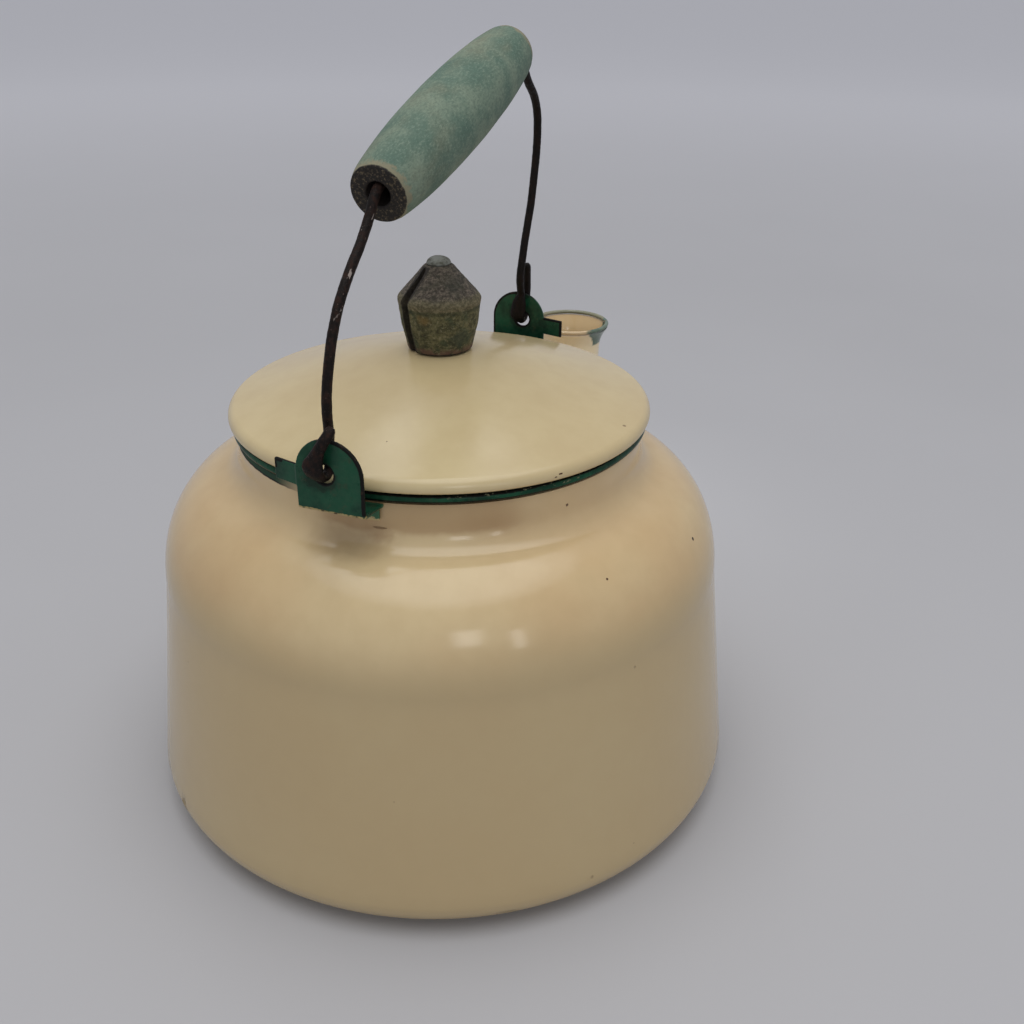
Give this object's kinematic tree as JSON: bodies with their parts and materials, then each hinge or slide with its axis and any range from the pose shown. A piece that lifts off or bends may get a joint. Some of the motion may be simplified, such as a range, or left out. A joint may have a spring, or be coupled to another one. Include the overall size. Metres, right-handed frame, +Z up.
{
  "type": "tea kettle",
  "caption": "Enamelled steel tea kettle with a lift-off lid, a turned wooden knob, a rising conical spout and a swinging wire bail with a loose wooden grip.",
  "frame": {"origin": "centre of the flat base, on the surface it stands on", "axes": "+Z up through the centre of the lid, +X from the body's axis towards the spout"},
  "size_m": [0.2865, 0.2286, 0.2749],
  "materials": {
    "body_enamel": "glossy cream enamel",
    "rim_enamel": "glossy green enamel, worn",
    "spout_enamel": "glossy cream enamel, green at the mouth",
    "lip_enamel": "green enamel, worn",
    "ear_enamel": "glossy green enamel with dark cut edges",
    "lid_enamel": "glossy cream enamel",
    "flange_enamel": "cream enamel",
    "knob_wood": "weathered wood with worn green paint",
    "bolt_metal": "dull steel",
    "washer_metal": "dull steel",
    "nut_metal": "dull steel",
    "wire_iron": "rusty dark iron",
    "grip_wood": "weathered wood with worn grey-green paint"
  },
  "bodies": {
    "kettle": {"body_shell": "body_enamel", "rim_bead": "rim_enamel", "spout_tube": "spout_enamel", "spout_lip": "lip_enamel", "ear_front": "ear_enamel", "ear_rear": "ear_enamel"},
    "lid": {"lid_shell": "lid_enamel", "lid_flange": "flange_enamel", "lid_knob": "knob_wood", "knob_bolt": "bolt_metal", "knob_washer": "washer_metal", "knob_nut": "nut_metal"},
    "bail": {"bail_wire": "wire_iron"},
    "grip": {"bail_grip": "grip_wood"}
  },
  "joints": [
    {"name": "lid_lift", "type": "slide", "parent": "kettle", "child": "lid", "axis": [0, 0, 1], "range_m": [0, 0.02]},
    {"name": "bail_swing", "type": "hinge", "parent": "kettle", "child": "bail", "pos_m": [0, 0, 0.1569], "axis": [1, 0, 0], "range_deg": [-75, 68]},
    {"name": "grip_spin", "type": "hinge", "parent": "bail", "child": "grip", "pos_m": [-0.00171, -0.00569, 0.24993], "axis": [0.9525, -0.0186, 0.3038], "continuous": true}
  ]
}
